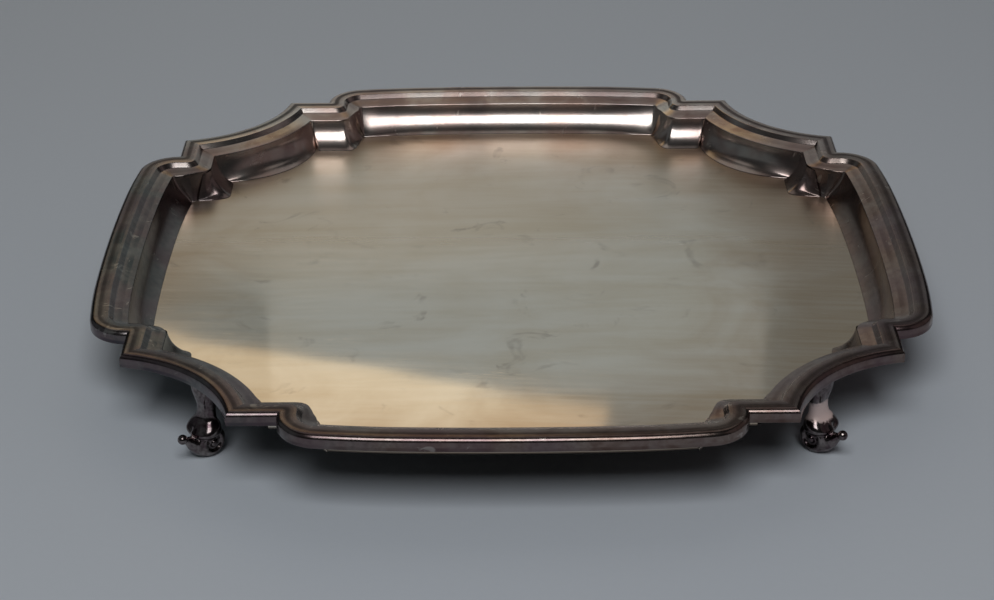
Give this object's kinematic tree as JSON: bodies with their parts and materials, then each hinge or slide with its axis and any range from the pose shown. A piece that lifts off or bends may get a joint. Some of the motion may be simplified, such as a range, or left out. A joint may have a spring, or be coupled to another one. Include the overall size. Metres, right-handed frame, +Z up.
{
  "type": "salver",
  "caption": "Square shaped silver salver: flat plate in a raised moulded border with bowed sides and incurved corners, on cast whorl feet.",
  "frame": {"origin": "on the surface it stands on, under the centre of the plate", "axes": "+Z up; +Y towards the back side, +X towards the right side; the four sides are alike"},
  "size_m": [0.3048, 0.3048, 0.0325],
  "materials": {
    "plate_silver": "satin polished, wiped, lightly tarnished",
    "border_silver": "polished, darkly tarnished in the hollows",
    "foot_silver": "polished casting, darkly tarnished"
  },
  "bodies": {
    "root": {"plate": "plate_silver", "side_front": "border_silver", "side_right": "border_silver", "side_back": "border_silver", "side_left": "border_silver", "return_front_left": "border_silver", "return_front_right": "border_silver", "return_right_front": "border_silver", "return_right_back": "border_silver", "return_back_right": "border_silver", "return_back_left": "border_silver", "return_left_back": "border_silver", "return_left_front": "border_silver", "corner_front_right": "border_silver", "corner_back_right": "border_silver", "corner_back_left": "border_silver", "corner_front_left": "border_silver", "foot_front_right": "foot_silver", "foot_back_right": "foot_silver", "foot_back_left": "foot_silver", "foot_front_left": "foot_silver"}
  },
  "joints": []
}
